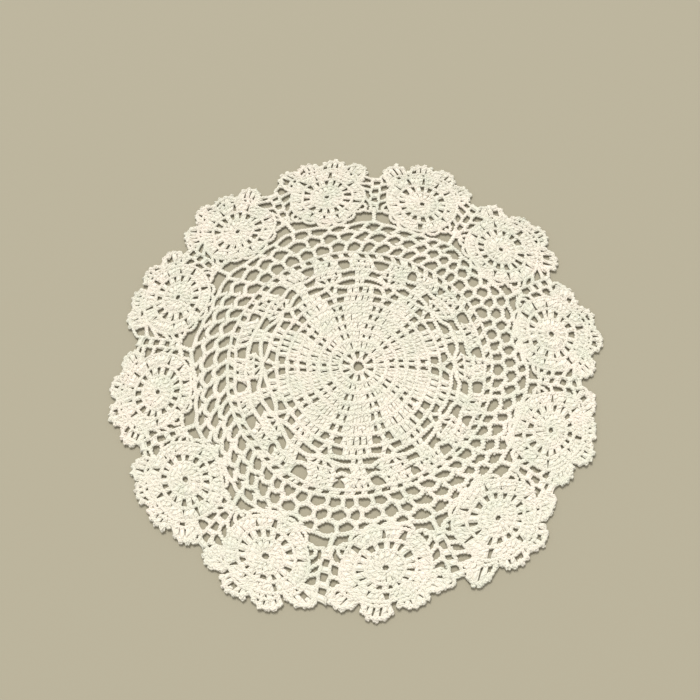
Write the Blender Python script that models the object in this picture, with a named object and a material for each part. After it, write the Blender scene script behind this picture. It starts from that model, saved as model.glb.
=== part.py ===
"""Round crocheted lace doily: one centre panel, and twelve wheels joined around it.

The panel is worked outwards from a small eyelet: petals, a round of shells and an open net.
Each wheel is worked by itself and joined to the net and to the wheels beside it.
Everything lies flat on z = 0, in metres, with +Z up.

Places are given as a turn and a reach.  The turn counts wheels: it is 0 at the first wheel,
1 at the second, and halves lie at the joins between wheels.  The reach is 0 at the eyelet
and 1 on the ring through the wheels' middles.
"""

import math

import bpy
from mathutils import Vector

# ---- driving dimensions, in metres ------------------------------------------------------
RING_RADIUS = 0.140                         # eyelet side of the doily to a wheel's middle
RING_MIDDLE = Vector((-0.0009, -0.0053))     # middle of the ring of wheels
EYELET_SHIFT = Vector((0.0025, -0.0047))    # the eyelet lies this far off the ring's middle
PANEL_THICKNESS = 0.0022
WHEEL_THICKNESS = 0.0026
GAP = 0.0003                                # clearance between pieces that touch

# The wheels, anticlockwise: the angle and the reach of the middle, and how far the outer
# side stands out from it, against the mean.
WHEEL_COLUMNS = ("angle_deg", "reach", "outer_share")
WHEELS = (
    (2.0, 0.993, 1.00),
    (33.6, 1.002, 1.04),
    (62.8, 1.008, 1.06),
    (93.3, 1.010, 1.06),
    (123.8, 1.009, 1.12),
    (152.4, 1.000, 1.05),
    (183.6, 0.982, 1.00),
    (211.5, 0.985, 0.97),
    (241.9, 1.018, 0.84),
    (272.5, 0.999, 0.80),
    (304.2, 1.009, 0.89),
    (332.7, 0.996, 0.88),
)
ANGLE, REACH, OUTER_SHARE = range(len(WHEEL_COLUMNS))

# Wheel, as shares of RING_RADIUS
WHEEL_IN = 0.200            # middle to the inner edge, towards the panel
WHEEL_OUT = 0.212           # middle to the dips between scallops
SCALLOP_RISE = 0.038        # a scallop's crown above those dips
SCALLOP_FULLNESS = 0.6      # below 1 the crowns are broad and the dips are narrow
SCALLOPS = 5                # crowns on a wheel's outer side
SCALLOP_STEP_DEG = 40.0     # one crown to the next, about the wheel's middle
POINTS_A_SCALLOP = 6
INNER_ARC_POINTS = 15
WHEEL_EYELET = 0.020
WHEEL_STRETCH = 1.045       # a wheel's half width against half the space between middles

# Panel, as shares of RING_RADIUS
PANEL_RIM = 0.802
PANEL_EYELET = 0.026
EYELET_POINTS = 10
RIM_POINTS = 12             # along the rim from one join to the next
POST_REACH = 0.920          # top of the post that stands up to the join of two wheels
POST_FOOT_HALF = 0.0018     # metres: half its width at the rim
POST_TIP_HALF = 0.0010      # metres: half its width at the join
SEAT_CLEARANCE = 0.0006     # metres: the panel's straight edges stay off the wheels' arcs

# Rounds of large gaps in the panel: how many, the turn that they are shifted by, the reach
# of their middle, how high they are, how much of their own step they fill, and how much
# narrower they are on the inner side.
GAP_COLUMNS = ("count", "shift", "reach", "height", "fill", "taper")
GAP_ROUNDS = {
    "shell_gaps": (20, 0.25, 0.605, 0.046, 0.40, 0.62),
    "lower_net": (60, 0.05, 0.690, 0.046, 0.68, 0.72),
    "upper_net": (60, 0.15, 0.752, 0.044, 0.68, 0.72),
}

COTTON = (0.894, 0.847, 0.694, 1.0)
ROUGHNESS = 0.85

TURNS = len(WHEELS)


# ---- places -----------------------------------------------------------------------------

def ring_reach(turn):
    """Reach of the ring at any turn, with smooth steps from wheel to wheel."""
    low = math.floor(turn)
    part = turn - low
    share = part * part * (3.0 - 2.0 * part)
    first = WHEELS[low % TURNS][REACH]
    second = WHEELS[(low + 1) % TURNS][REACH]
    return first + (second - first) * share


def ring_angle(turn):
    """Angle about the ring's middle, in radians, that a turn stands for."""
    low = math.floor(turn)
    first = WHEELS[low % TURNS][ANGLE]
    second = WHEELS[(low + 1) % TURNS][ANGLE]
    if second < first:
        second += 360.0
    return math.radians(first + (second - first) * (turn - low))


def place(turn, reach):
    """World x and y of a turn and a reach; inner rounds drift towards the eyelet."""
    angle = ring_angle(turn)
    outwards = Vector((math.cos(angle), math.sin(angle)))
    drift = EYELET_SHIFT * max(0.0, 1.0 - reach)
    return RING_MIDDLE + drift + outwards * (RING_RADIUS * reach * ring_reach(turn))


def circle(centre, radius, count):
    """Points of a small round eyelet, run clockwise."""
    points = []
    for index in range(count):
        angle = -2.0 * math.pi * index / count
        points.append(centre + Vector((math.cos(angle), math.sin(angle))) * radius)
    return points


# ---- outlines ---------------------------------------------------------------------------

def axes(number):
    """The directions outwards from, and sideways along, the ring at a wheel's middle."""
    angle = ring_angle(number)
    outwards = Vector((math.cos(angle), math.sin(angle)))
    return outwards, Vector((-outwards.y, outwards.x))


def half_width(number, side):
    """Metres from a wheel's middle to its end on one side (-1 or 1), where it is joined."""
    spread = abs(math.remainder(ring_angle(number + 0.5 * side) - ring_angle(number), math.tau))
    return RING_RADIUS * WHEELS[number % TURNS][REACH] * math.sin(spread) * WHEEL_STRETCH


def wheel_outline(number):
    """Scalloped on the outer side, round on the inner side, straight where wheels join."""
    outwards, sideways = axes(number)
    middle = place(number, 1.0)
    outer_share = WHEELS[number][OUTER_SHARE]
    outer_half = math.radians(SCALLOPS * SCALLOP_STEP_DEG / 2.0)
    inner_sweep = 2.0 * (math.pi - outer_half)
    outer_count = SCALLOPS * POINTS_A_SCALLOP

    around = []
    for index in range(outer_count + 1):
        angle = -outer_half + 2.0 * outer_half * index / outer_count
        crown = abs(math.sin(math.pi * index / POINTS_A_SCALLOP)) ** SCALLOP_FULLNESS
        out = (WHEEL_OUT + SCALLOP_RISE * crown) * outer_share
        around.append((angle, out if math.cos(angle) > 0.0 else WHEEL_IN))
    for index in range(1, INNER_ARC_POINTS):
        around.append((outer_half + inner_sweep * index / INNER_ARC_POINTS, WHEEL_IN))

    points = []
    for angle, out in around:
        side = 1 if math.sin(angle) > 0.0 else -1
        along = half_width(number, side) * math.sin(angle)
        points.append(middle + sideways * along + outwards * (out * RING_RADIUS * math.cos(angle)))
    return cut_to_sector(points, number)


def cut_to_sector(points, number):
    """Cut an outline off straight where the wheel meets the wheels beside it."""
    for side in (-1, 1):
        angle = ring_angle(number + 0.5 * side)
        line = Vector((math.cos(angle), math.sin(angle)))
        inwards = Vector((line.y, -line.x)) * side
        depths = [(point - RING_MIDDLE).dot(inwards) - GAP / 2.0 for point in points]
        kept = []
        for index, point in enumerate(points):
            before = points[index - 1]
            crossing = depths[index - 1] * depths[index] < 0.0
            if crossing:
                share = depths[index - 1] / (depths[index - 1] - depths[index])
                kept.append(before + (point - before) * share)
            if depths[index] > 0.0:
                kept.append(point)
        points = kept
    return points


def held_off(point, number, side):
    """Pull a point of the panel's edge back towards the middle until it clears a wheel."""
    outwards, sideways = axes(number)
    ray = point - RING_MIDDLE
    distance = ray.length
    ray.normalize()
    along = half_width(number, side) + SEAT_CLEARANCE
    out = WHEEL_IN * RING_RADIUS + SEAT_CLEARANCE
    middle = RING_RADIUS * WHEELS[number % TURNS][REACH]
    squared = (ray.dot(sideways) / along) ** 2 + (ray.dot(outwards) / out) ** 2
    linear = middle * ray.dot(outwards) / out ** 2
    rest = (middle / out) ** 2 - 1.0
    inside = linear * linear - squared * rest
    if inside > 0.0:
        distance = min(distance, (linear - math.sqrt(inside)) / squared)
    return RING_MIDDLE + ray * distance


def panel_outline():
    """The rim dips where a wheel is seated, and a post stands up at each join."""
    a_metre = TURNS / (2.0 * math.pi * RING_RADIUS * PANEL_RIM)
    foot = POST_FOOT_HALF * a_metre
    tip = POST_TIP_HALF * a_metre
    points = []
    for number in range(TURNS):
        for index in range(RIM_POINTS + 1):
            offset = -0.5 + foot + (1.0 - 2.0 * foot) * index / RIM_POINTS
            side = 1 if offset > 0.0 else -1
            points.append(held_off(place(number + offset, PANEL_RIM), number, side))
        join = number + 0.5
        points.append(held_off(place(join - tip, POST_REACH), number, 1))
        points.append(held_off(place(join + tip, POST_REACH), number + 1, -1))
    return points


def gap_outline(count, index, shift, reach, height, fill, taper):
    """One gap of a round: six corners, narrower towards the eyelet."""
    step = TURNS / count
    turn = index * step + shift
    half = step * fill / 2.0
    corners = (
        (-0.55 * taper, -0.5),
        (0.55 * taper, -0.5),
        (1.0, 0.15),
        (0.62, 0.5),
        (-0.62, 0.5),
        (-1.0, 0.15),
    )
    points = [place(turn + half * across, reach + height * up) for across, up in corners]
    return points[::-1]


# ---- building ---------------------------------------------------------------------------

def cotton(name):
    """Matt cream cotton."""
    material = bpy.data.materials.new(name)
    material.use_nodes = True
    shader = material.node_tree.nodes["Principled BSDF"]
    shader.inputs["Base Color"].default_value = COTTON
    shader.inputs["Roughness"].default_value = ROUGHNESS
    shader.inputs["Metallic"].default_value = 0.0
    return material


def flat_piece(name, outlines, thickness, material, collection):
    """A flat sheet from closed outlines, the first one outside and the others its holes."""
    curve = bpy.data.curves.new(name, "CURVE")
    curve.dimensions = "2D"
    curve.fill_mode = "BOTH"
    curve.extrude = thickness / 2.0
    for points in outlines:
        spline = curve.splines.new("POLY")
        spline.points.add(len(points) - 1)
        for corner, point in zip(spline.points, points):
            corner.co = (point.x, point.y, 0.0, 1.0)
        spline.use_cyclic_u = True
    curve.materials.append(material)
    piece = bpy.data.objects.new(name, curve)
    piece.location.z = thickness / 2.0
    collection.objects.link(piece)
    return piece


def main():
    for old in list(bpy.data.objects):
        bpy.data.objects.remove(old)
    collection = bpy.data.collections.new("lace_doily")
    bpy.context.scene.collection.children.link(collection)

    outlines = [panel_outline()]
    outlines.append(circle(place(0.0, 0.0), PANEL_EYELET * RING_RADIUS, EYELET_POINTS))
    for count, shift, reach, height, fill, taper in GAP_ROUNDS.values():
        for index in range(count):
            outlines.append(gap_outline(count, index, shift, reach, height, fill, taper))
    flat_piece("centre_panel", outlines, PANEL_THICKNESS, cotton("panel_cotton"), collection)

    wheel_cotton = cotton("wheel_cotton")
    for number in range(TURNS):
        eyelet = circle(place(number, 1.0), WHEEL_EYELET * RING_RADIUS, EYELET_POINTS)
        outlines = [wheel_outline(number), eyelet]
        name = f"wheel_{number + 1:02d}"
        flat_piece(name, outlines, WHEEL_THICKNESS, wheel_cotton, collection)


main()
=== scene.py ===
"""Looks of a round crocheted lace doily: every stitch is laid as swept strands of cotton yarn.

The charts below give the rounds of the pattern.  A place on the panel is a phase and a reach.
The phase counts petals, with whole numbers on the spines between them.  The reach is 0 at the
eyelet and 1 on the ring through the wheels' middles.  Further out the turn takes over from the
phase: it counts wheels, and halves lie where two wheels are joined.
"""

import math

import bpy
import numpy as np
from mathutils import Matrix, Vector


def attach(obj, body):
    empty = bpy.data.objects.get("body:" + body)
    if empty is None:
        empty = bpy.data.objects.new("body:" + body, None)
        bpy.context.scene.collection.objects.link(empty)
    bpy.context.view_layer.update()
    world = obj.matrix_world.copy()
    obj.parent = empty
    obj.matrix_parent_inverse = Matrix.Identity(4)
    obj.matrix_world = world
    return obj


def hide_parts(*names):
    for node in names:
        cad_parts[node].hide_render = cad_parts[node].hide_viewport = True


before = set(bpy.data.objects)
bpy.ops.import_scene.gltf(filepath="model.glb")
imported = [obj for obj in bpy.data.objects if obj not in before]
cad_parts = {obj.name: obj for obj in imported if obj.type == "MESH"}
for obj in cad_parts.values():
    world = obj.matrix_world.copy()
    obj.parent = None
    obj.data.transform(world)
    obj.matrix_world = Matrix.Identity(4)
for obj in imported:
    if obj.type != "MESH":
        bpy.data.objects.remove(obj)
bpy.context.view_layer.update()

RANDOM = np.random.default_rng(41)

# ---- sizes, in metres ---------------------------------------------------------------------
RING_RADIUS = 0.140
RING_MIDDLE = np.array((-0.0009, -0.0053))
EYELET_SHIFT = np.array((0.0025, -0.0047))
FABRIC_MIDDLE = 0.00130     # height of the fabric's middle above the table
LOWEST = 0.00002            # no point of the yarn lies lower than this above the table
SIDES = 4                   # of a strand
UNEVEN = (0.00011, 0.00011, 0.00006)   # spread of a strand's points about their places
SHAKE = 0.00022             # spread of a stitch's ends about their places
TAU = 2.0 * math.pi

# A tall stitch
YARN = 0.00064              # radius of a strand in a stitch
SHORTEST_POST = 0.0004
SWELL_SPREAD = 0.06         # of the width, as a share
LIFT_SPREAD = 0.00009       # of the height
CORE_SHARE = 0.43           # half width of a stitch's inner strand against its width
CORE_FLAT = 0.45
CORE_DROP = 0.0001          # the inner strand lies this far below the fabric's middle
SIDE_OVERLAP = 0.02         # the side strands pass both ends by this share of the length
SIDE_BULGE = 0.00012
SIDE_DROP = 0.00012
SIDE_WAVE = 0.0001
NARROWEST_SIDE = 0.0002     # half the space between the side strands, at the least
WRAP_YARN = YARN * 0.96
WRAP_POINTS = 7             # a turn
WRAP_RISE = 0.00002
WRAP_SWING = 0.00052        # the winding strand goes this far up and down
NARROWEST_WRAP = 0.0003

# A row of chain stitches
CHAIN_YARN = 0.00072        # radius of a strand in a plait
CHAIN_WIDTH = 0.0034
CHAIN_PITCH = 0.0070        # one full crossing of a plait's three strands
CHAIN_CORE = 0.38           # half width of the inner strand against the plait's width
CHAIN_CORE_FLAT = 0.55
CHAIN_SWING = 0.00050
STEPS_A_PITCH = 6
TWIST_START = 0.01          # a strand's twist starts anywhere on this length of yarn

# The wheels, anticlockwise, as they were measured in the picture: angle and reach of the
# middle, and how far the outer side stands out from it, against the mean.
WHEEL_COLUMNS = ("angle_deg", "reach", "outer_share")
WHEELS = (
    (2.0, 0.993, 1.00),
    (33.6, 1.002, 1.04),
    (62.8, 1.008, 1.06),
    (93.3, 1.010, 1.06),
    (123.8, 1.009, 1.12),
    (152.4, 1.000, 1.05),
    (183.6, 0.982, 1.00),
    (211.5, 0.985, 0.97),
    (241.9, 1.018, 0.84),
    (272.5, 0.999, 0.80),
    (304.2, 1.009, 0.89),
    (332.7, 0.996, 0.88),
)
ANGLE, REACH, OUTER_SHARE = range(len(WHEEL_COLUMNS))
TURNS = len(WHEELS)

# Angle of each spine between two petals, in degrees about the ring's middle, and how many
# degrees further on it lies in the rounds beyond the solid ones.
SPINES = (211.5, 248.0, 282.4, 316.6, 353.5, 391.1, 425.6, 462.7, 495.9, 534.6)
SPINE_LEAN = (0.0, -1.8, 0.6, 0.2, -1.7, -0.9, -3.1, -1.4, 0.5, 0.2)
PETALS = len(SPINES)
TURN_OF_FIRST_SPINE = 6.91

# Reaches over which one thing passes into the next.
SWIRL_ENDS = (0.16, 0.34)
LEAN_STARTS = (0.34, 0.42)
DRIFT_STARTS = (0.50, 0.58)
DRIFT_ENDS = (0.62, 0.68)
PETALS_TO_WHEELS = (0.60, 0.70)
SWIRL = math.radians(3.6)   # the rounds at the eyelet are turned on by this angle
SHELL_DRIFT = 0.065         # petals: the shells run ahead on one half of the round
SHELL_DRIFT_START = 0.1     # petals: they run furthest ahead this far before the first spine


# ---- places -------------------------------------------------------------------------------

def smooth(low, high, value):
    share = np.clip((value - low) / (high - low), 0.0, 1.0)
    return share * share * (3.0 - 2.0 * share)


def ring_angle(turn):
    low = math.floor(turn)
    first = WHEELS[low % TURNS][ANGLE] + 360.0 * (low // TURNS)
    second = WHEELS[(low + 1) % TURNS][ANGLE] + 360.0 * ((low + 1) // TURNS)
    return math.radians(first + (second - first) * (turn - low))


def ring_reach(turn):
    low = math.floor(turn)
    share = smooth(0.0, 1.0, turn - low)
    first = WHEELS[low % TURNS][REACH]
    second = WHEELS[(low + 1) % TURNS][REACH]
    return first + (second - first) * share


def spine_angle(phase):
    low = math.floor(phase)
    first = SPINES[low % PETALS] + 360.0 * (low // PETALS)
    second = SPINES[(low + 1) % PETALS] + 360.0 * ((low + 1) // PETALS)
    return math.radians(first + (second - first) * (phase - low))


def spine_lean(phase):
    low = math.floor(phase)
    first, second = SPINE_LEAN[low % PETALS], SPINE_LEAN[(low + 1) % PETALS]
    return math.radians(first + (second - first) * (phase - low))


def turn_of(phase):
    return TURN_OF_FIRST_SPINE + phase * TURNS / PETALS


# How far the rounds lie out from true circles, at several reaches: everywhere, and then as
# cosine and sine of the lap, of twice the lap, and cosine of three times the lap.  The inner
# rounds hang about 2 mm towards the near side.
SAGS = (
    (0.16, 0.0, 0.0, 0.0, 0.0, 0.0, 0.0),
    (0.33, -0.003, 0.0, -0.008, 0.0, 0.0, 0.0),
    (0.42, -0.006, 0.005, -0.016, 0.0, -0.004, 0.0),
    (0.62, -0.005, 0.005, -0.016, 0.004, -0.004, 0.004),
    (0.70, 0.0, 0.006, -0.008, 0.006, 0.0, 0.006),
    (0.80, 0.0, 0.006, -0.008, 0.006, 0.0, 0.006),
    (0.93, 0.0, 0.0, 0.0, 0.0, 0.0, 0.0),
)


def sag(turn, reach):
    lap = TAU * turn / TURNS
    shares = (1.0, math.cos(lap), math.sin(lap), math.cos(2.0 * lap), math.sin(2.0 * lap),
              math.cos(3.0 * lap))
    reaches, *columns = zip(*SAGS)
    return sum(share * float(np.interp(reach, reaches, column))
               for share, column in zip(shares, columns))


def at_angle(angle, turn, reach):
    outwards = np.array((math.cos(angle), math.sin(angle)))
    drift = EYELET_SHIFT * max(0.0, 1.0 - reach)
    out = RING_RADIUS * (reach + sag(turn, reach)) * ring_reach(turn)
    return RING_MIDDLE + drift + outwards * out


def panel(phase, reach):
    """World x and y on the panel, by phase."""
    drift = SHELL_DRIFT * math.cos(TAU * (phase + SHELL_DRIFT_START) / PETALS)
    phase = phase + drift * smooth(*DRIFT_STARTS, reach) * (1.0 - smooth(*DRIFT_ENDS, reach))
    swirl = SWIRL * (1.0 - smooth(*SWIRL_ENDS, reach))
    turn = turn_of(phase)
    inner = spine_angle(phase) + swirl + spine_lean(phase) * smooth(*LEAN_STARTS, reach)
    outer = ring_angle(turn)
    share = smooth(*PETALS_TO_WHEELS, reach)
    return at_angle(inner + (outer - inner) * share, turn, reach)


def ring(turn, reach):
    """World x and y on the panel or between the wheels, by turn."""
    return at_angle(ring_angle(turn), turn, reach)


def shaken(point, amount=SHAKE):
    return np.asarray(point) + RANDOM.normal(0.0, amount, 2)


# ---- yarn ---------------------------------------------------------------------------------

class Yarn:
    """Strands of yarn that are gathered and then made into one mesh."""

    def __init__(self):
        self.verts = []
        self.quads = []
        self.caps = []
        self.along = []
        self.count = 0

    def strand(self, points, radius, closed=False, flat=1.0):
        """A tube along the points; flat is its height against its width."""
        points = np.asarray(points, float)
        points = points + RANDOM.normal(0.0, 1.0, points.shape) * UNEVEN
        number = len(points)
        if closed:
            tangents = np.roll(points, -1, 0) - np.roll(points, 1, 0)
        else:
            tangents = np.gradient(points, axis=0)
        tangents /= np.linalg.norm(tangents, axis=1)[:, None] + 1e-12
        across = np.cross(tangents, (0.0, 0.0, 1.0))
        size = np.linalg.norm(across, axis=1)[:, None]
        across = np.where(size > 0.05, across / np.maximum(size, 1e-9), (1.0, 0.0, 0.0))
        over = np.cross(across, tangents)
        turns = TAU * np.arange(SIDES) / SIDES
        radius = np.broadcast_to(radius, (number,))[:, None, None]
        rings = points[:, None, :] + radius * (
            np.cos(turns)[None, :, None] * across[:, None, :]
            + flat * np.sin(turns)[None, :, None] * over[:, None, :]
        )
        self.verts.append(rings.reshape(-1, 3))

        spans = number if closed else number - 1
        lower = np.arange(spans)
        upper = (lower + 1) % number
        side = np.arange(SIDES)
        after = (side + 1) % SIDES
        first = self.count
        quads = np.stack(
            (
                first + lower[:, None] * SIDES + side[None, :],
                first + lower[:, None] * SIDES + after[None, :],
                first + upper[:, None] * SIDES + after[None, :],
                first + upper[:, None] * SIDES + side[None, :],
            ),
            axis=-1,
        )
        self.quads.append(quads.reshape(-1, 4))

        steps = np.linalg.norm(np.diff(points, axis=0), axis=1)
        run = np.concatenate(((0.0,), np.cumsum(steps))) + RANDOM.random() * TWIST_START
        end = run[-1] + np.linalg.norm(points[0] - points[-1])
        upper_run = np.append(run[1:], end)[:spans]
        lower_run = run[:spans]
        around = np.stack((side, side + 1, side + 1, side), axis=-1) / SIDES
        marks = np.empty((spans, SIDES, 4, 2))
        marks[..., 0] = around[None]
        marks[..., 0:2, 1] = lower_run[:, None, None]
        marks[..., 2:4, 1] = upper_run[:, None, None]
        self.along.append(marks.reshape(-1, 2))
        if not closed:
            last = first + (number - 1) * SIDES
            self.caps.append(np.arange(first, first + SIDES)[::-1])
            self.caps.append(np.arange(last, last + SIDES))
        self.count += number * SIDES

    def mesh(self, name):
        verts = np.concatenate(self.verts)
        verts[:, 2] = np.maximum(verts[:, 2], LOWEST)
        quads = np.concatenate(self.quads)
        caps = np.array(self.caps).reshape(-1, SIDES)
        corners = np.concatenate((quads.reshape(-1), caps.reshape(-1))).astype(np.int32)
        starts = np.concatenate(
            (
                np.arange(len(quads)) * 4,
                len(quads) * 4 + np.arange(len(caps)) * SIDES,
            )
        ).astype(np.int32)
        mesh = bpy.data.meshes.new(name)
        mesh.vertices.add(len(verts))
        mesh.vertices.foreach_set("co", verts.astype(np.float32).reshape(-1))
        mesh.loops.add(len(corners))
        mesh.loops.foreach_set("vertex_index", corners)
        mesh.polygons.add(len(starts))
        mesh.polygons.foreach_set("loop_start", starts)
        mesh.update(calc_edges=True)
        mesh.validate()
        mesh.polygons.foreach_set("use_smooth", np.ones(len(starts), bool))

        flat = verts[corners][:, :2]
        low, high = flat.min(0), flat.max(0)
        plan = (flat - low) / (high - low)
        baked = mesh.uv_layers.new(name="OFBake")
        baked.data.foreach_set("uv", plan.astype(np.float32).reshape(-1))
        along = np.concatenate(self.along)
        rest = np.zeros((len(corners) - len(along), 2))
        twist = mesh.uv_layers.new(name="yarn")
        twist.data.foreach_set(
            "uv", np.concatenate((along, rest)).astype(np.float32).reshape(-1)
        )
        return mesh


def upright(points, heights):
    return np.column_stack((points, np.broadcast_to(heights, len(points))))


def post(yarn, foot, head, foot_width, head_width, wraps=2.0, flare=0.0):
    """A tall stitch: an inner strand, one on each side, and one that winds around them."""
    foot, head = shaken(foot), shaken(head)
    line = head - foot
    length = np.linalg.norm(line)
    if length < SHORTEST_POST:
        return
    line /= length
    across = np.array((-line[1], line[0]))
    swell = 1.0 + RANDOM.normal(0.0, SWELL_SPREAD)
    lift = RANDOM.normal(0.0, LIFT_SPREAD)

    def widths(steps):
        ends = flare * np.abs(2.0 * steps - 1.0) ** 3
        return (foot_width + (head_width - foot_width) * steps + ends) * swell

    steps = np.linspace(0.0, 1.0, 5 if flare else 3)
    points = foot + line * (length * steps)[:, None]
    yarn.strand(upright(points, FABRIC_MIDDLE - CORE_DROP), widths(steps) * CORE_SHARE,
                flat=CORE_FLAT)
    steps = np.linspace(-SIDE_OVERLAP, 1.0 + SIDE_OVERLAP, 5)
    bulge = SIDE_BULGE * np.sin(math.pi * steps.clip(0, 1))
    for side in (-1.0, 1.0):
        reach = side * (np.maximum(widths(steps) / 2.0 - YARN, NARROWEST_SIDE) + bulge)
        points = foot + line * (length * steps)[:, None] + across * reach[:, None]
        heights = FABRIC_MIDDLE - SIDE_DROP + lift + SIDE_WAVE * np.cos(steps * 5.0 + side)
        yarn.strand(upright(points, heights), YARN)
    count = max(6, int(round(wraps * WRAP_POINTS)) + 1)
    steps = np.linspace(0.0, 1.0, count)
    wind = TAU * wraps * steps + RANDOM.uniform(0.0, TAU)
    reach = np.maximum(widths(steps) / 2.0 - 0.8 * YARN, NARROWEST_WRAP) * np.cos(wind)
    points = foot + line * (length * steps)[:, None] + across * reach[:, None]
    heights = FABRIC_MIDDLE + WRAP_RISE + lift + WRAP_SWING * np.sin(wind)
    yarn.strand(upright(points, heights), WRAP_YARN)


def resampled(points, step, closed=False):
    """Points at even steps along a line, and its length."""
    points = np.asarray(points, float)
    if closed:
        points = np.vstack((points, points[:1]))
    gaps = np.linalg.norm(np.diff(points, axis=0), axis=1)
    run = np.concatenate(((0.0,), np.cumsum(gaps)))
    count = max(2, int(round(run[-1] / step)))
    marks = np.linspace(0.0, run[-1], count + 1)
    found = np.column_stack([np.interp(marks, run, points[:, axis]) for axis in (0, 1)])
    return (found[:-1] if closed else found), run[-1]


def rounded(points, rounds=2, closed=False):
    """Cut the corners of a line of points, keeping its ends."""
    points = np.asarray(points, float)
    for _ in range(rounds):
        after = np.roll(points, -1, 0) if closed else points[1:]
        before = points if closed else points[:-1]
        cut = np.empty((len(before) * 2, 2))
        cut[0::2] = 0.75 * before + 0.25 * after
        cut[1::2] = 0.25 * before + 0.75 * after
        points = cut if closed else np.vstack((points[:1], cut[1:-1], points[-1:]))
    return points


def plait(yarn, points, width=CHAIN_WIDTH, closed=False, lift=0.0, flare=0.0):
    """A row of chain stitches: an inner strand, and three that cross over each other."""
    line, length = resampled(points, CHAIN_PITCH / STEPS_A_PITCH, closed)
    if closed:
        tangents = np.roll(line, -1, 0) - np.roll(line, 1, 0)
        pitches = max(1, round(length / CHAIN_PITCH))
        share = np.arange(len(line)) / len(line)
    else:
        tangents = np.gradient(line, axis=0)
        pitches = length / CHAIN_PITCH
        share = np.arange(len(line)) / (len(line) - 1)
    tangents /= np.linalg.norm(tangents, axis=1)[:, None] + 1e-12
    across = np.column_stack((-tangents[:, 1], tangents[:, 0]))
    start = RANDOM.uniform(0.0, TAU)
    width = width + flare * np.abs(2.0 * share - 1.0) ** 3
    yarn.strand(upright(line, FABRIC_MIDDLE + lift - CORE_DROP), width * CHAIN_CORE, closed,
                flat=CHAIN_CORE_FLAT)
    for strand in range(3):
        wind = start + TAU * (pitches * share + strand / 3.0)
        reach = (width / 2.0 - CHAIN_YARN) * np.sin(wind)
        heights = FABRIC_MIDDLE + lift + CHAIN_SWING * np.sin(2.0 * wind)
        yarn.strand(upright(line + across * reach[:, None], heights), CHAIN_YARN, closed)


# ---- petals -------------------------------------------------------------------------------

# Round heads that run all the way round as a plait, by reach.  They wander a little: the
# waves in the round, how far out they go, and how much each round is shifted by its reach.
INNER_HEADS = (0.034, 0.088, 0.142, 0.197, 0.248, 0.305, 0.361, 0.416)
INNER_HEAD_WIDTH = 0.0031
INNER_HEAD_LIFT = 0.00010
HEAD_WAVES = ((3, 0.0016, 40.0), (17, 0.0010, 90.0))
HEAD_STEPS = 240

# The first round has two posts for each petal, at phases from its spine.
FIRST_FOOT, FIRST_HEAD = 0.034, 0.088
FIRST_PHASES = (-0.10, 0.10)
FIRST_WIDTHS = (0.0020, 0.0027)
FIRST_WRAPS = 1.5

# Solid rounds of a petal: reach at foot and head, phase where the petal begins beside the
# spine's hole, and its number of posts.  The spine has one post in each of these rounds.
PETAL_ROUNDS = (
    (0.088, 0.142, 0.195, 3),
    (0.142, 0.197, 0.200, 4),
    (0.197, 0.248, 0.152, 5),
    (0.248, 0.305, 0.138, 7),
    (0.305, 0.361, 0.128, 8),
    (0.361, 0.416, 0.190, 5),
)
SPINE_WIDTHS = (0.0024, 0.0032)
SPINE_FLARE = 0.0008
SPINE_HEAD_HALF = 0.0030    # half the length of the stitch that lies over a spine's post
SPINE_HEAD_WIDTH = 0.0040
SPINE_HEAD_SPREAD = 0.003   # of its reach
WIDEST_POST = 0.0037
HEAD_FILL = 0.97            # a post's width against its own step, at its head
FOOT_FILL = 1.02            # and at its foot
EDGE_FLARE = 0.0010
PHASE_SPREAD = 0.04         # of a post's place, in steps
WIDTH_SPREAD = (0.93, 1.07)

# Open rounds, charted for one side of a spine and worked on both: degrees from the spine and
# reach of a post's foot, the same of its head, and its width at foot and head in millimetres.
MILLIMETRE = 0.001
PETAL_DEGREES = 360.0 / PETALS
CHART_FLARE = 0.0016
CHART_FOOT_SHAKE, CHART_HEAD_SHAKE = 0.0003, 0.0005
SPINE_POSTS = (
    (0.5, 0.420, 3.9, 0.470, 2.7, 2.8),
    (0.8, 0.492, 2.5, 0.530, 2.1, 2.7),
    (2.4, 0.486, 7.6, 0.530, 2.4, 2.8),
    (3.0, 0.532, 3.1, 0.564, 3.3, 3.5),
    (6.0, 0.532, 6.2, 0.564, 3.2, 3.4),
)
SPINE_MIDDLE_POSTS = ((0.0, 0.532, 0.0, 0.564, 3.2, 3.4),)
# The petal's last rounds, narrowing to its tip; the degrees are from the petal's middle.
TIP_POSTS = (
    (2.3, 0.418, 2.5, 0.464, 3.7, 3.8),
    (6.9, 0.418, 6.9, 0.464, 3.8, 3.8),
    (1.7, 0.464, 1.7, 0.510, 3.1, 3.2),
    (2.4, 0.510, 2.6, 0.564, 3.2, 3.5),
)
TIP_MIDDLE_POSTS = ((0.0, 0.510, 0.0, 0.564, 3.2, 3.4),)
# Plaits over those rounds: degrees from the spine and reach, from spine to petal middle.
OPEN_HEAD_WIDTH = 0.0037
OPEN_HEAD_SHAKE = 0.0007
OPEN_HEADS = (
    ((0.0, 0.493), (2.2, 0.481), (4.5, 0.470), (9.0, 0.464), (18.0, 0.466)),
    ((0.0, 0.486), (3.5, 0.489), (7.0, 0.499), (10.5, 0.509), (14.0, 0.512), (18.0, 0.510)),
    ((0.0, 0.566), (4.0, 0.566), (8.0, 0.558), (10.0, 0.556), (13.0, 0.563), (18.0, 0.566)),
)
# A thin plait under the spine's fan.
FAN_DEGREES = (-7.4, -4.0, 0.0, 4.0, 7.4)
FAN_REACH = 0.532
FAN_WIDTH = 0.0022


def width_of(phase_share, reach):
    """Metres along a round that a share of a petal takes."""
    return phase_share * TAU * RING_RADIUS * reach / PETALS


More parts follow.
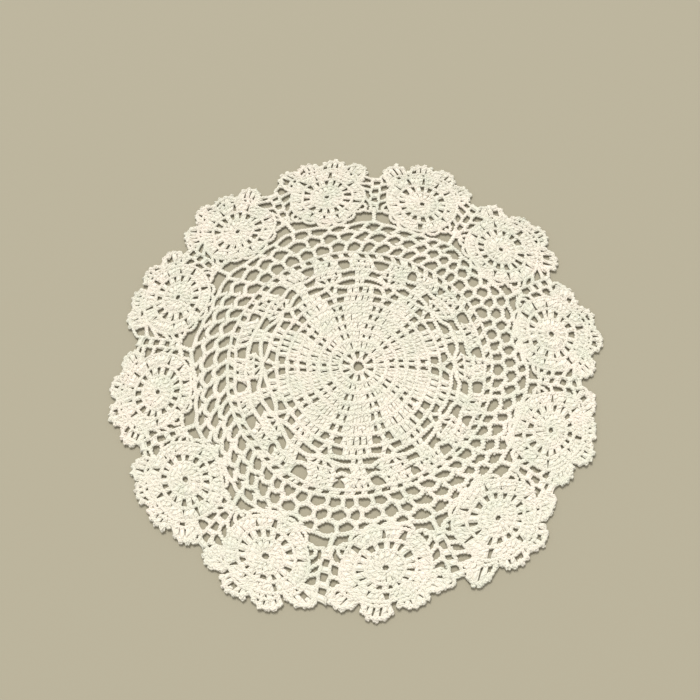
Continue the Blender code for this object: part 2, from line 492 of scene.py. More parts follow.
def head_line(yarn, reach):
    """A plait right round."""
    phases = np.arange(HEAD_STEPS) * PETALS / HEAD_STEPS
    lap = phases * TAU / PETALS
    wander = sum(size * np.sin(order * lap + reach * shift) for order, size, shift in HEAD_WAVES)
    points = [panel(phase, reach + more) for phase, more in zip(phases, wander)]
    plait(yarn, points, INNER_HEAD_WIDTH, closed=True, lift=INNER_HEAD_LIFT)


def first_round(yarn, petal):
    for phase in FIRST_PHASES:
        post(yarn, panel(petal + phase, FIRST_FOOT), panel(petal + phase, FIRST_HEAD),
             *FIRST_WIDTHS, FIRST_WRAPS, SPINE_FLARE)


def spine_post(yarn, petal, foot, head):
    """One post of a spine, with a stitch that lies across its head."""
    post(yarn, panel(petal, foot), panel(petal, head), *SPINE_WIDTHS, 2.0, SPINE_FLARE)
    reach = head + RANDOM.normal(0.0, SPINE_HEAD_SPREAD)
    half = SPINE_HEAD_HALF / width_of(1.0, head)
    post(yarn, panel(petal - half, reach), panel(petal + half, reach),
         SPINE_HEAD_WIDTH, SPINE_HEAD_WIDTH, 1.5)


def petal_rounds(yarn):
    for reach in INNER_HEADS:
        head_line(yarn, reach)
    for petal in range(PETALS):
        first_round(yarn, petal)
        for foot, head, edge, count in PETAL_ROUNDS:
            spine_post(yarn, petal, foot, head)
            step = (1.0 - 2.0 * edge) / count
            for index in range(count):
                phase = petal + edge + step * (index + 0.5 + RANDOM.normal(0.0, PHASE_SPREAD))
                full = min(width_of(step, head) * HEAD_FILL, WIDEST_POST)
                wide = full * RANDOM.uniform(*WIDTH_SPREAD)
                narrow = min(wide, width_of(step, foot) * FOOT_FILL)
                flare = EDGE_FLARE if index in (0, count - 1) else 0.0
                post(yarn, panel(phase, foot), panel(phase, head), narrow, wide, 2.0, flare)


def charted(yarn, middle, rows, sides):
    """Posts of a chart, about the phase of its middle, on one side or both."""
    for foot_degrees, foot, head_degrees, head, foot_width, head_width in rows:
        for side in sides:
            low = panel(middle + side * foot_degrees / PETAL_DEGREES, foot)
            high = panel(middle + side * head_degrees / PETAL_DEGREES, head)
            post(yarn, shaken(low, CHART_FOOT_SHAKE), shaken(high, CHART_HEAD_SHAKE),
                 foot_width * MILLIMETRE, head_width * MILLIMETRE, flare=CHART_FLARE)


def open_rounds(yarn):
    for half in OPEN_HEADS:
        line = []
        for petal in range(PETALS):
            there = [(petal + degrees / PETAL_DEGREES, reach) for degrees, reach in half]
            back = [(petal + 1 - degrees / PETAL_DEGREES, reach) for degrees, reach in half[-2:0:-1]]
            line += [shaken(panel(*place), OPEN_HEAD_SHAKE) for place in there + back]
        plait(yarn, rounded(line, closed=True), OPEN_HEAD_WIDTH, closed=True)
    for petal in range(PETALS):
        charted(yarn, petal, SPINE_POSTS, (-1, 1))
        charted(yarn, petal, SPINE_MIDDLE_POSTS, (1,))
        charted(yarn, petal + 0.5, TIP_POSTS, (-1, 1))
        charted(yarn, petal + 0.5, TIP_MIDDLE_POSTS, (1,))
        fan = [panel(petal + degrees / PETAL_DEGREES, FAN_REACH) for degrees in FAN_DEGREES]
        plait(yarn, rounded(fan), FAN_WIDTH)


# ---- shells and the slits around them -----------------------------------------------------

SHELLS = 20
SHELL_FOOT, SHELL_HEAD = 0.568, 0.626
SHELL_POSTS = ((-5.5, -4.9), (-2.7, -2.5), (0.0, 0.0), (2.7, 2.5), (5.5, 4.9))   # degrees
SHELL_EDGE_DEGREES = 5.0    # posts further out than this are a shell's edge
SHELL_FLARE = 0.0034
SHELL_WIDTHS = (0.0025, 0.0033)
SHELL_HEAD_MORE = 0.0002    # a head is this much wider than its foot
SHELL_WRAPS = 2.5
SHELL_PHASE_SPREAD = 0.012
SHELL_WIDE_SPREAD = 0.05
SHELL_TILT_SPREAD = 0.5     # degrees
SHELL_FOOT_SHAKE, SHELL_HEAD_SHAKE = 0.0006, 0.0005

# A short stitch across each space between a shell's posts.
KNOT_DEGREES = (-3.9, -1.3, 1.3, 3.9)
KNOT_HALF_DEGREES = 0.9
KNOT_SPREAD = 0.2
KNOT_REACHES = (0.578, 0.616)
KNOT_SLOPE = 0.002
KNOT_WIDTH = 0.0032

# Slits over the shells, between two wavy plaits; a pair of posts stands between two slits.
SLIT_REACHES = (0.626, 0.660)
SLIT_WAVES = (0.0022, -0.0022)
SLIT_WAVE_SPREAD = 0.0024
SLIT_PLAIT_WIDTH = 0.0029
SLITS = 60
SLIT_PAIR_WIDTHS = (0.0036, 0.0064)
SLIT_POST_SHARE = 0.56      # a post's width against its pair's
SLIT_POST_PLACE = 0.24      # its distance from the pair's middle, against the pair's width
SLIT_POST_SHAKE = 0.0004


def shell(yarn, number):
    middle = number * PETALS / SHELLS + RANDOM.normal(0.0, SHELL_PHASE_SPREAD)
    spread = 1.0 + RANDOM.normal(0.0, SHELL_WIDE_SPREAD)
    tilt = RANDOM.normal(0.0, SHELL_TILT_SPREAD)
    for foot, head in SHELL_POSTS:
        wide = RANDOM.uniform(*SHELL_WIDTHS)
        flare = SHELL_FLARE if abs(foot) > SHELL_EDGE_DEGREES else 0.0
        low = panel(middle + (spread * foot - tilt) / PETAL_DEGREES, SHELL_FOOT)
        high = panel(middle + (spread * head + tilt) / PETAL_DEGREES, SHELL_HEAD)
        post(yarn, shaken(low, SHELL_FOOT_SHAKE), shaken(high, SHELL_HEAD_SHAKE),
             wide, wide + SHELL_HEAD_MORE, SHELL_WRAPS, flare)
    for knot in KNOT_DEGREES:
        degrees = knot + RANDOM.normal(0.0, KNOT_SPREAD)
        reach = RANDOM.uniform(*KNOT_REACHES)
        post(yarn, panel(middle + (degrees - KNOT_HALF_DEGREES) / PETAL_DEGREES, reach),
             panel(middle + (degrees + KNOT_HALF_DEGREES) / PETAL_DEGREES, reach + KNOT_SLOPE),
             KNOT_WIDTH, KNOT_WIDTH, 1.0)


def slit_line(yarn, reach, wave):
    line = []
    for place in range(2 * SLITS):
        out = wave * math.cos(math.pi * place) + RANDOM.normal(0.0, SLIT_WAVE_SPREAD)
        line.append(panel(place * PETALS / (2.0 * SLITS), reach - out))
    plait(yarn, rounded(line, closed=True), SLIT_PLAIT_WIDTH, closed=True)


def slit_posts(yarn, slit):
    low, high = SLIT_REACHES
    phase = (slit + 0.5) * PETALS / SLITS
    wide = RANDOM.uniform(*SLIT_PAIR_WIDTHS)
    place = SLIT_POST_PLACE * wide / width_of(1.0, high)
    for side in (-place, place):
        post(yarn, shaken(panel(phase + side, low), SLIT_POST_SHAKE),
             shaken(panel(phase + side, high), SLIT_POST_SHAKE),
             SLIT_POST_SHARE * wide, SLIT_POST_SHARE * wide, 1.5)


def shell_round(yarn):
    for number in range(SHELLS):
        shell(yarn, number)
    for reach, wave in zip(SLIT_REACHES, SLIT_WAVES):
        slit_line(yarn, reach, wave)
    for slit in range(SLITS):
        slit_posts(yarn, slit)


# ---- the net ------------------------------------------------------------------------------

# Lines of the net, by reach.
NET_LINES = (0.660, 0.719, 0.780, 0.820)
NET_CELLS = 60
# Rows of cells between those lines: the turn of the first cell's middle, how far the line above
# rises over it, how wide that line is, and how far the bars stand up from the line below.
NET_ROWS = (
    (0.0, 0.0150, 0.0040, 0.001),
    (0.08, 0.0150, 0.0040, 0.005),
    (0.18, 0.0050, 0.0034, 0.005),
)
NET_TURN_SPREAD = 0.013
NET_REACH_SPREAD = 0.0030
LEAN_SPREAD = 0.018
BAR_END = 0.007             # a bar ends this far below its line
BAR_SHAKE = 0.0005
BAR_WIDTH = 0.0036
BAR_FLARE = 0.0026
JOIN_RISE = 0.022           # the last line stands out this far where two wheels are joined

# A bar from the net's last line up to the join of two wheels.
JOIN_FOOT, JOIN_HEIGHT = 0.832, 0.090
JOIN_SHARES = (0.0, 0.3, 0.7, 1.0)
JOIN_FOOT_SPREAD, JOIN_HEAD_SPREAD = 0.035, 0.010
JOIN_WIDTH = 0.0040
JOIN_FLARE = 0.0030

# The cells are wider than the mean about some angles and narrower away from them: the number
# of such places in the round, the share of the mean, and the angle of the first.
NET_WAVES = ((1, 0.10, 140.0), (2, 0.12, 120.0))
# How far the bars between cells lean, in turns a row, at angles about the ring's middle.
LEAN_ANGLES = (0.0, 40.0, 52.0, 85.0, 96.0, 128.0, 142.0, 222.0, 236.0, 272.0, 290.0, 330.0)
LEANS = (0.02, 0.00, -0.07, -0.08, 0.00, 0.02, 0.10, 0.09, 0.00, 0.00, 0.05, 0.05)


def cell_turn(place):
    """Turn of a place that is counted in cells."""
    lap = TAU * place / NET_CELLS
    turn = place * TURNS / NET_CELLS
    for order, share, widest in NET_WAVES:
        swing = share * TURNS / (TAU * order)
        turn += swing * math.sin(order * (lap - math.radians(widest)))
    return turn


def lean_at(turn):
    return float(np.interp(math.degrees(ring_angle(turn)), LEAN_ANGLES, LEANS, period=360.0))


def net_line(line, turn):
    """Reach of a line of the net; the last one stands out where two wheels are joined."""
    if line < len(NET_LINES) - 1:
        return NET_LINES[line]
    return NET_LINES[line] + JOIN_RISE * math.sin(math.pi * turn) ** 4


def net_row(yarn, row, start, rise, width, stand):
    """A line rises over the middle of a cell and is caught down by the bars beside it."""
    line = []
    for cell in range(NET_CELLS):
        bar = start + cell_turn(cell - 0.5) + RANDOM.normal(0.0, NET_TURN_SPREAD)
        middle = start + cell_turn(cell) + RANDOM.normal(0.0, NET_TURN_SPREAD)
        lean = (lean_at(bar) + RANDOM.normal(0.0, LEAN_SPREAD)) * 0.5
        high = net_line(row + 1, bar)
        low_point = high - rise + RANDOM.normal(0.0, NET_REACH_SPREAD)
        high_point = net_line(row + 1, middle) + rise + RANDOM.normal(0.0, NET_REACH_SPREAD)
        line += [ring(bar + lean, low_point), ring(middle + lean, high_point)]
        foot = ring(bar - lean, NET_LINES[row] + stand)
        head = ring(bar + lean, high - BAR_END)
        plait(yarn, (foot, shaken((foot + head) / 2.0, BAR_SHAKE), head), BAR_WIDTH,
              flare=BAR_FLARE)
    plait(yarn, rounded(line, closed=True), width, closed=True)


def join_bar(yarn, number):
    foot = number + 0.5 + RANDOM.normal(0.0, JOIN_FOOT_SPREAD)
    head = number + 0.5 + RANDOM.normal(0.0, JOIN_HEAD_SPREAD)
    bar = [ring(foot + (head - foot) * share, JOIN_FOOT + JOIN_HEIGHT * share)
           for share in JOIN_SHARES]
    plait(yarn, rounded(bar), JOIN_WIDTH, flare=JOIN_FLARE)


def net_rounds(yarn):
    for row, (start, rise, width, stand) in enumerate(NET_ROWS):
        net_row(yarn, row, start, rise, width, stand)
    for number in range(TURNS):
        join_bar(yarn, number)


# ---- wheels ---------------------------------------------------------------------------------
# Radii are shares of RING_RADIUS, and angles are degrees from outwards.

WHEEL_WIDE = 1.17
WHEEL_DEEP = 0.97
WAVES = (2, 3, 5)           # a wheel's rounds aren't quite round
WAVE_SPREAD = 0.022
# Radii over which a wheel passes from a round eyelet to its own shape.
WAVES_START = (0.03, 0.12)
ROOM_STARTS = (0.05, 0.19)
SHARE_STARTS = (0.02, 0.14)

# Rounds inside the groups
EYELET = (0.0165, 0.0215)   # smallest and largest
EYELET_WIDTH = 0.0024
INNER_ROUNDS = ((0.076, 0.0028), (0.120, 0.0029))   # radius, width in metres
ROUND_LIFT = 0.00006
ROUND_STEPS = 48
SPOKES = 16
SPOKE_STEP = 360.0 / SPOKES
SPOKE_START = 0.001         # past the eyelet
SPOKE_END = 0.073
SPOKE_WIDTHS = (0.0018, 0.0043)
SECOND_ENDS = (0.076, 0.119)
SECOND_TURN, SECOND_TURN_SPREAD = 6.0, 1.8
SECOND_WIDTH, SECOND_WIDTH_SPREAD = 0.0035, 0.0004
SECOND_HEAD_MORE = 0.0004
SECOND_FLARE = 0.0005

# Groups of three posts, and the rim that they carry
RIM = 0.172
RIM_WIDTH = 0.0028
RIM_LIFT = 0.00015
GROUPS = 14
GROUP_SPREAD = 1.6
GROUP_FOOT, GROUP_FOOT_STEP = 0.123, 5.1
GROUP_HEAD, GROUP_HEAD_STEP = 0.170, 8.7
GROUP_WIDTHS = (0.0030, 0.0043)

# Scallops on the outer side: the angle of the middle, and the radius of the crown
SCALLOPS = ((-52.0, 0.254), (-17.0, 0.243), (18.0, 0.243), (53.0, 0.256))
SCALLOP_HALF = 17.0
SCALLOP_ANGLE_SPREAD, SCALLOP_CROWN_SPREAD = 2.5, 0.006
SCALLOP_SKEW_SPREAD = 0.12
SCALLOP_FULLNESS = 2.5
SCALLOP_TOP = 0.030         # the top's ends stand above the rim
SCALLOP_BASE = 0.006        # the base's ends stand above the rim
SCALLOP_BASE_RISES = (0.012, 0.024)
SCALLOP_BASE_WIDTH, SCALLOP_TOP_WIDTH = 0.0026, 0.0031
SCALLOP_TOP_DROP = 0.005
SCALLOP_POINTS = 9
LEGS = (-0.42, 0.0, 0.42)   # posts between rim and base, as shares of the half
LEG_SPREAD = 0.10
LEG_WIDTH = 0.0030
FAN_POSTS = 6
FAN_HALF = 0.93
SHORTEST_FAN_POST = 0.008
SHORT_SHARE = 0.55          # a short post of the fan starts this far up
FAN_POST_SPREAD = 0.9
FAN_POST_WIDTHS = (0.0025, 0.0040)
KNOB_START = 0.004          # a knob starts this far below a post's end
KNOB_RISES = (0.003, 0.012)
KNOB_LEAN, KNOB_LEAN_SPREAD = 1.5, 1.3
KNOB_WIDTHS = (0.0042, 0.0028)

# Arcs towards the net, and an arc's outline as shares of its step and of its bulge
ARCS = 6
ARC_START = 114.0
ARC_STEP = 22.0
ARC_SPREAD = 1.5
ARC_BULGE, END_ARC_BULGE = 0.026, 0.038
ARC_OUTLINE = ((0.0, 0.0), (0.15, 0.7), (0.5, 1.0), (0.85, 0.7), (1.0, 0.0))
ARC_WIDTH = 0.0032

# The chain on each side, by turns from the wheel and reach: it starts at the rim, runs along
# the join in small waves, and ends at the outer scallop.
SIDE_START_ANGLE, SIDE_START_RISE = 128.0, 0.010
SIDE_FIRST = (0.488, 0.899)
SIDE_STEPS = 18
SIDE_REACH, SIDE_STEP = 0.912, 0.0115
SIDE_TURN = 0.4595
SIDE_WAVE_TURN, SIDE_WAVE_START, SIDE_WAVE_LENGTH = 0.0060, 0.932, 0.062
SIDE_ENDS = ((0.470, 1.128), (0.440, 1.146))
SIDE_LAST, OTHER_SIDE_LAST = (52.0, 0.240), (-60.0, 0.220)   # angle and radius
SIDE_SHAKE = 0.0004
SIDE_WIDTH = 0.0029
# Bars from the rim out to that chain, and ties from it to the neighbour's chain
BAR_REACHES = (0.963, 1.025, 1.080)
BAR_TURN = 0.455
BAR_REACH_SPREAD, BAR_ANGLE_SPREAD = 0.004, 2.0
SIDE_BAR_WIDTH, SIDE_BAR_FLARE = 0.0031, 0.0024
TIE_REACHES = (0.932, 0.994, 1.056, 1.108)
TIE_TURNS = (0.450, 0.550)
TIE_REACH_SPREAD, TIE_SLOPE_SPREAD = 0.004, 0.006
TIE_WIDTH = 0.0040
TIE_FLARE = 0.0016


def axes(number):
    angle = ring_angle(number)
    outwards = np.array((math.cos(angle), math.sin(angle)))
    return outwards, np.array((-outwards[1], outwards[0]))


def side_room(number, side):
    """Half the space to the next wheel, against the mean."""
    spread = abs(ring_angle(number + 0.5 * side) - ring_angle(number))
    return spread / (math.pi / TURNS)


class Wheel:
    def __init__(self, number):
        self.number = number
        self.outwards, self.sideways = axes(number)
        self.middle = ring(number, 1.0)
        self.share = WHEELS[number][OUTER_SHARE]
        self.room = {side: side_room(number, side) for side in (-1, 1)}
        self.waves = [(order, RANDOM.uniform(0.0, TAU), RANDOM.normal(0.0, WAVE_SPREAD))
                      for order in WAVES]

    def at(self, angle_deg, radius):
        """World x and y of an angle and a radius."""
        angle = math.radians(angle_deg)
        for order, start, size in self.waves:
            radius *= 1.0 + size * math.sin(order * angle + start) * smooth(*WAVES_START, radius)
        side = 1 if math.sin(angle) > 0.0 else -1
        room = 1.0 + (self.room[side] - 1.0) * smooth(*ROOM_STARTS, radius)
        along = RING_RADIUS * radius * math.sin(angle) * WHEEL_WIDE * room
        out = RING_RADIUS * radius * math.cos(angle) * WHEEL_DEEP
        if out > 0.0:
            out *= 1.0 + (self.share - 1.0) * smooth(*SHARE_STARTS, radius)
        return self.middle + self.sideways * along + self.outwards * out

    def ring_plait(self, yarn, radius, width, lift):
        points = [self.at(360.0 * step / ROUND_STEPS, radius) for step in range(ROUND_STEPS)]
        plait(yarn, points, width, closed=True, lift=lift)

    def middle_rounds(self, yarn, phase):
        """The eyelet's ring, the spokes, and a second round of posts between them."""
        eyelet = RANDOM.uniform(*EYELET)
        for radius, width in ((eyelet, EYELET_WIDTH), *INNER_ROUNDS):
            self.ring_plait(yarn, radius, width, ROUND_LIFT)
        foot, head = SECOND_ENDS
        for index in range(SPOKES):
            angle = phase + index * SPOKE_STEP
            post(yarn, self.at(angle, eyelet + SPOKE_START), self.at(angle, SPOKE_END),
                 *SPOKE_WIDTHS)
            angle += SECOND_TURN + RANDOM.normal(0.0, SECOND_TURN_SPREAD)
            wide = SECOND_WIDTH + RANDOM.normal(0.0, SECOND_WIDTH_SPREAD)
            post(yarn, self.at(angle, foot), self.at(angle, head),
                 wide, wide + SECOND_HEAD_MORE, 1.5, SECOND_FLARE)

    def group_round(self, yarn, phase):
        self.ring_plait(yarn, RIM, RIM_WIDTH, RIM_LIFT)
        for index in range(GROUPS):
            angle = phase + index * 360.0 / GROUPS + RANDOM.normal(0.0, GROUP_SPREAD)
            for place in (-1, 0, 1):
                post(yarn, self.at(angle + place * GROUP_FOOT_STEP, GROUP_FOOT),
                     self.at(angle + place * GROUP_HEAD_STEP, GROUP_HEAD), *GROUP_WIDTHS)

    def scallop(self, yarn, centre, crown):
        """Stitches fanned over an arc on the outer side; now and then one starts further out."""
        skew = RANDOM.normal(0.0, SCALLOP_SKEW_SPREAD)
        rise = RANDOM.uniform(*SCALLOP_BASE_RISES)
        shares = np.linspace(-1.0, 1.0, SCALLOP_POINTS)

        def top(share):
            fall = abs(share - skew) ** SCALLOP_FULLNESS
            return RIM + SCALLOP_TOP + (crown - RIM - SCALLOP_TOP) * (1.0 - fall)

        def base(share):
            return RIM + SCALLOP_BASE + rise * (1.0 - abs(share) ** SCALLOP_FULLNESS)

        base_line = [self.at(centre + share * SCALLOP_HALF, base(share)) for share in shares]
        plait(yarn, base_line, SCALLOP_BASE_WIDTH)
        top_line = [self.at(centre + share * SCALLOP_HALF, top(share) - SCALLOP_TOP_DROP)
                    for share in shares]
        plait(yarn, top_line, SCALLOP_TOP_WIDTH)
        for share in LEGS:
            share += RANDOM.normal(0.0, LEG_SPREAD)
            angle = centre + share * SCALLOP_HALF
            post(yarn, self.at(angle, RIM), self.at(angle, base(share)), LEG_WIDTH, LEG_WIDTH, 1.0)
        short = RANDOM.integers(1, FAN_POSTS - 1) if RANDOM.random() < 0.5 else -1
        for index, share in enumerate(np.linspace(-FAN_HALF, FAN_HALF, FAN_POSTS)):
            out = max(top(share), base(share) + SHORTEST_FAN_POST)
            angle = centre + share * SCALLOP_HALF
            low = base(share)
            if index == short:
                low += SHORT_SHARE * (out - low)
            foot = self.at(angle + RANDOM.normal(0.0, FAN_POST_SPREAD), low)
            post(yarn, foot, self.at(angle, out), *FAN_POST_WIDTHS, 1.5)
            lean = angle + share * KNOB_LEAN + RANDOM.normal(0.0, KNOB_LEAN_SPREAD)
            post(yarn, self.at(angle, out - KNOB_START),
                 self.at(lean, out + RANDOM.uniform(*KNOB_RISES)), *KNOB_WIDTHS, 1.0)

    def inner_arcs(self, yarn):
        for index in range(ARCS):
            first = ARC_START + index * ARC_STEP + RANDOM.normal(0.0, ARC_SPREAD)
            bulge = END_ARC_BULGE if index in (0, ARCS - 1) else ARC_BULGE
            points = [self.at(first + share * ARC_STEP, RIM + bulge * rise)
                      for share, rise in ARC_OUTLINE]
            plait(yarn, rounded(points), ARC_WIDTH)

    def side_ring(self, side, turn, reach):
        return ring(self.number + side * turn, reach)

    def side_chain(self, yarn, side):
        """The chain on one side, and the bars that hold it."""
        line = [self.at(side * SIDE_START_ANGLE, RIM + SIDE_START_RISE),
                self.side_ring(side, *SIDE_FIRST)]
        for step in range(SIDE_STEPS):
            reach = SIDE_REACH + SIDE_STEP * step
            wave = math.cos(TAU * (reach - SIDE_WAVE_START) / SIDE_WAVE_LENGTH)
            line.append(self.side_ring(side, SIDE_TURN + SIDE_WAVE_TURN * wave, reach))
        if side > 0:
            line += [self.side_ring(side, turn, reach) for turn, reach in SIDE_ENDS]
            line.append(self.at(*SIDE_LAST))
        else:
            line.append(self.at(*OTHER_SIDE_LAST))
        line = [shaken(point, SIDE_SHAKE) for point in line]
        plait(yarn, rounded(line, rounds=1), SIDE_WIDTH)
        for reach in BAR_REACHES:
            reach += RANDOM.normal(0.0, BAR_REACH_SPREAD)
            angle = math.degrees(math.acos((reach - 1.0) / RIM))
            angle += RANDOM.normal(0.0, BAR_ANGLE_SPREAD)
            bar = (self.at(side * angle, RIM), self.side_ring(side, BAR_TURN, reach))
            plait(yarn, bar, SIDE_BAR_WIDTH, flare=SIDE_BAR_FLARE)

    def ties(self, yarn):
        first, second = TIE_TURNS
        for reach in TIE_REACHES:
            reach += RANDOM.normal(0.0, TIE_REACH_SPREAD)
            foot = ring(self.number + first, reach)
            head = ring(self.number + second, reach + RANDOM.normal(0.0, TIE_SLOPE_SPREAD))
            post(yarn, foot, head, TIE_WIDTH, TIE_WIDTH, 1.5, TIE_FLARE)

    def edging(self, yarn):
        for centre, crown in SCALLOPS:
            self.scallop(yarn, centre + RANDOM.normal(0.0, SCALLOP_ANGLE_SPREAD),
                         crown + RANDOM.normal(0.0, SCALLOP_CROWN_SPREAD))
        self.inner_arcs(yarn)
        for side in (-1, 1):
            self.side_chain(yarn, side)
        self.ties(yarn)


# ---- material -------------------------------------------------------------------------------

ROUGHNESS = 0.88
SPECULAR = 0.25
SHEEN, SHEEN_ROUGHNESS = 0.08, 0.5
BLOTCH_SCALE, BLOTCH_DETAIL = 60.0, 3.0
BLOTCH_FROM, BLOTCH_TO = 0.30, 0.70
DARK_COTTON = (0.80, 0.80, 0.68, 1.0)
LIGHT_COTTON = (0.93, 0.865, 0.762)
FLECK_SCALE, FLECK_DETAIL = 900.0, 2.0
FLECK_FROM, FLECK_TO = 0.25, 0.65
FLECK_SHADE = (0.72, 0.70, 0.64, 1.0)
FLECK_SHARE = 0.35
WHITE = (1.0, 1.0, 1.0, 1.0)
WHEEL_WARMTH = 0.995        # the wheels' green and blue against the panel's
FIBRE_SCALE = 2600.0
PLY_PITCH = 0.0022          # metres of yarn in one turn of its plies
PLIES = 3
PLY_SHARE = 0.35            # the plies' relief against the fibres'
RELIEF, RELIEF_STRENGTH = 0.00018, 0.6


def noise(tree, place, scale, detail=2.0):
    """Noise in the object's own metres."""
    node = tree.nodes.new("ShaderNodeTexNoise")
    node.inputs["Scale"].default_value = scale
    node.inputs["Detail"].default_value = detail
    tree.links.new(place, node.inputs["Vector"])
    return node.outputs["Fac"]


def ramp(tree, value, low, low_colour, high, high_colour):
    node = tree.nodes.new("ShaderNodeValToRGB")
    for element, position, colour in zip(node.color_ramp.elements, (low, high),
                                         (low_colour, high_colour)):
        element.position = position
        element.color = colour
    tree.links.new(value, node.inputs["Fac"])
    return node.outputs["Color"]


def worked_out(tree, operation, *values):
    """A math node on values that are numbers or the outputs of other nodes."""
    node = tree.nodes.new("ShaderNodeMath")
    node.operation = operation
    for socket, value in zip(node.inputs, values):
        if isinstance(value, float):
            socket.default_value = value
        else:
            tree.links.new(value, socket)
    return node.outputs["Value"]


def cotton_colour(tree, place, warmth):
    """Soft blotches of cream, darkened by fine flecks."""
    red, green, blue = LIGHT_COTTON
    light = (red, green * warmth, blue * warmth, 1.0)
    blotches = noise(tree, place, BLOTCH_SCALE, BLOTCH_DETAIL)
    flecks = noise(tree, place, FLECK_SCALE, FLECK_DETAIL)
    mix = tree.nodes.new("ShaderNodeMix")
    mix.data_type = "RGBA"
    mix.blend_type = "MULTIPLY"
    mix.inputs["Factor"].default_value = FLECK_SHARE
    tint = ramp(tree, blotches, BLOTCH_FROM, DARK_COTTON, BLOTCH_TO, light)
    shade = ramp(tree, flecks, FLECK_FROM, FLECK_SHADE, FLECK_TO, WHITE)
    tree.links.new(tint, mix.inputs["A"])
    tree.links.new(shade, mix.inputs["B"])
    return mix.outputs["Result"]


def yarn_relief(tree, place):
    """The plies that wind along a strand, and fibres over them."""
    run = tree.nodes.new("ShaderNodeUVMap")
    run.uv_map = "yarn"
    parts = tree.nodes.new("ShaderNodeSeparateXYZ")
    tree.links.new(run.outputs["UV"], parts.inputs["Vector"])
    turns = worked_out(tree, "MULTIPLY", parts.outputs["Y"], 1.0 / PLY_PITCH)
    slant = worked_out(tree, "ADD", turns, parts.outputs["X"])
    phase = worked_out(tree, "MULTIPLY", slant, TAU * PLIES)
    plies = worked_out(tree, "SINE", phase)
    height = worked_out(tree, "MULTIPLY_ADD", plies, PLY_SHARE, noise(tree, place, FIBRE_SCALE))
    bump = tree.nodes.new("ShaderNodeBump")
    bump.inputs["Strength"].default_value = RELIEF_STRENGTH
    bump.inputs["Distance"].default_value = RELIEF
    tree.links.new(height, bump.inputs["Height"])
    return bump.outputs["Normal"]


def cotton(name, warmth):
    """Matt cream cotton yarn."""
    material = bpy.data.materials.new(name)
    material.use_nodes = True
    tree = material.node_tree
    shader = tree.nodes["Principled BSDF"]
    shader.inputs["Roughness"].default_value = ROUGHNESS
    shader.inputs["Specular IOR Level"].default_value = SPECULAR
    shader.inputs["Sheen Weight"].default_value = SHEEN
    shader.inputs["Sheen Roughness"].default_value = SHEEN_ROUGHNESS
    place = tree.nodes.new("ShaderNodeTexCoord").outputs["Object"]
    tree.links.new(cotton_colour(tree, place, warmth), shader.inputs["Base Color"])
    tree.links.new(yarn_relief(tree, place), shader.inputs["Normal"])
    return material


def made(yarn, name, material):
    """One piece of the gathered yarn, on the doily's body."""
    mesh = yarn.mesh(name)
    mesh.materials.append(material)
    piece = bpy.data.objects.new(name, mesh)
    bpy.context.scene.collection.objects.link(piece)
    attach(piece, "root")
    return piece


# ---- the doily ------------------------------------------------------------------------------

def make_panel():
    material = cotton("panel_cotton_yarn", 1.0)
    yarn = Yarn()
    petal_rounds(yarn)
    petals = made(yarn, "centre_panel_petals", material)
    yarn = Yarn()
    open_rounds(yarn)
    shell_round(yarn)
    shells = made(yarn, "centre_panel_shells", material)
    yarn = Yarn()
    net_rounds(yarn)
    net = made(yarn, "centre_panel_net", material)
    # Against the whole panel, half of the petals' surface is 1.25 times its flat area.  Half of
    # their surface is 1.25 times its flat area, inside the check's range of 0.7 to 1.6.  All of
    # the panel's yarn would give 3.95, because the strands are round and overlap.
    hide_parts("centre_panel")


def make_wheels():
    material = cotton("wheel_cotton_yarn", WHEEL_WARMTH)
    for number in range(TURNS):
        wheel = Wheel(number)
        phase = RANDOM.uniform(0.0, SPOKE_STEP)
        name = f"wheel_{number + 1:02d}"
        yarn = Yarn()
        wheel.middle_rounds(yarn, phase)
        middle = made(yarn, name + "_middle", material)
        yarn = Yarn()
        wheel.group_round(yarn, phase)
        groups = made(yarn, name + "_groups", material)
        yarn = Yarn()
        wheel.edging(yarn)
        edging = made(yarn, name + "_edging", material)
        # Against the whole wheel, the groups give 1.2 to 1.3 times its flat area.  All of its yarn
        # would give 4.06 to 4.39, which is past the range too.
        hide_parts(name)


# ---- floor, camera and light ----------------------------------------------------------------

FLOOR_SIZE = 6.0
FLOOR_DROP = 0.0002         # below the doily
FLOOR_COLOUR = (0.378, 0.348, 0.258, 1.0)
FLOOR_ROUGHNESS = 0.9

# The camera's place is solved from where the middles of the twelve wheels lie in the picture.
CAMERA_TILT = -0.43172383   # radians
CAMERA_ROLL = 0.100973296
CAMERA_PLACE = (0.0214657058, -0.0585204802, -3.46619606)   # in ring radii, seen by the camera
CAMERA_LENS = 35.77
CAMERA_SENSOR = 36.0
CAMERA_CLIP = (0.01, 50.0)

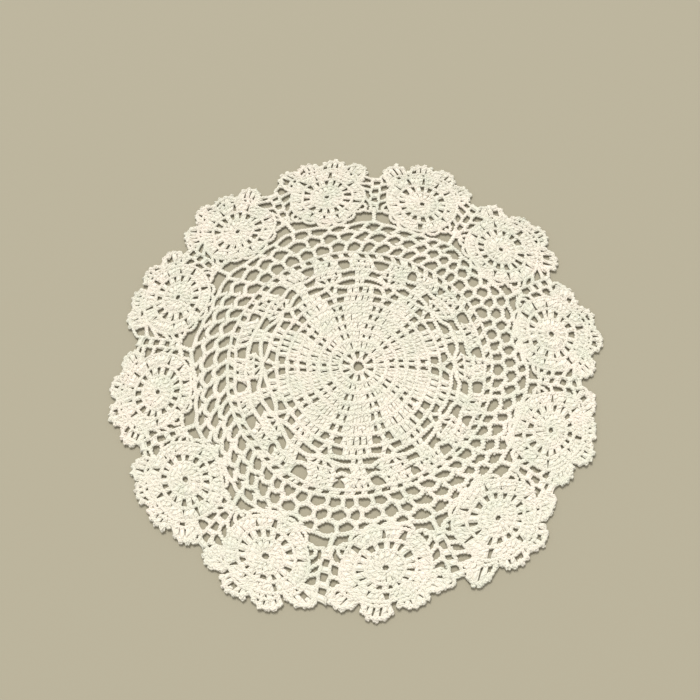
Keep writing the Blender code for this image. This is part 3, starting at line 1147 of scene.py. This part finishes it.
SKY_COLOUR = (1.0, 0.985, 0.96, 1.0)
SKY_STRENGTH = 0.62
SUN_COLOUR = (1.0, 0.985, 0.95)
SUN_STRENGTH = 2.72
SUN_SPREAD = math.radians(24.0)
SUN_DIRECTION = Vector((0.10, -0.8, -1.0))


def make_floor():
    bpy.ops.mesh.primitive_plane_add(size=FLOOR_SIZE, location=(0.0, 0.0, -FLOOR_DROP))
    floor = bpy.context.object
    floor.name = "floor"
    material = bpy.data.materials.new("floor")
    material.use_nodes = True
    shader = material.node_tree.nodes["Principled BSDF"]
    shader.inputs["Base Color"].default_value = FLOOR_COLOUR
    shader.inputs["Roughness"].default_value = FLOOR_ROUGHNESS
    floor.data.materials.append(material)


def make_camera():
    tilt = Matrix.Rotation(CAMERA_TILT, 3, "X")
    roll = Matrix.Rotation(CAMERA_ROLL, 3, "Z")
    back = (roll @ tilt).transposed()
    data = bpy.data.cameras.new("camera")
    data.lens = CAMERA_LENS
    data.sensor_width = CAMERA_SENSOR
    data.clip_start, data.clip_end = CAMERA_CLIP
    camera = bpy.data.objects.new("camera", data)
    bpy.context.scene.collection.objects.link(camera)
    middle = Vector((*RING_MIDDLE, 0.0))
    place = middle - back @ (Vector(CAMERA_PLACE) * RING_RADIUS)
    camera.matrix_world = Matrix.Translation(place) @ back.to_4x4()
    bpy.context.scene.camera = camera


def make_light():
    world = bpy.data.worlds.new("studio")
    world.use_nodes = True
    background = world.node_tree.nodes["Background"]
    background.inputs["Color"].default_value = SKY_COLOUR
    background.inputs["Strength"].default_value = SKY_STRENGTH
    bpy.context.scene.world = world
    data = bpy.data.lights.new("key", "SUN")
    data.energy = SUN_STRENGTH
    data.angle = SUN_SPREAD
    data.color = SUN_COLOUR
    key = bpy.data.objects.new("key", data)
    bpy.context.scene.collection.objects.link(key)
    key.rotation_mode = "QUATERNION"
    key.rotation_quaternion = SUN_DIRECTION.to_track_quat("-Z", "Y")
    bpy.context.scene.view_settings.view_transform = "Standard"


make_floor()
make_panel()
make_wheels()
make_camera()
make_light()
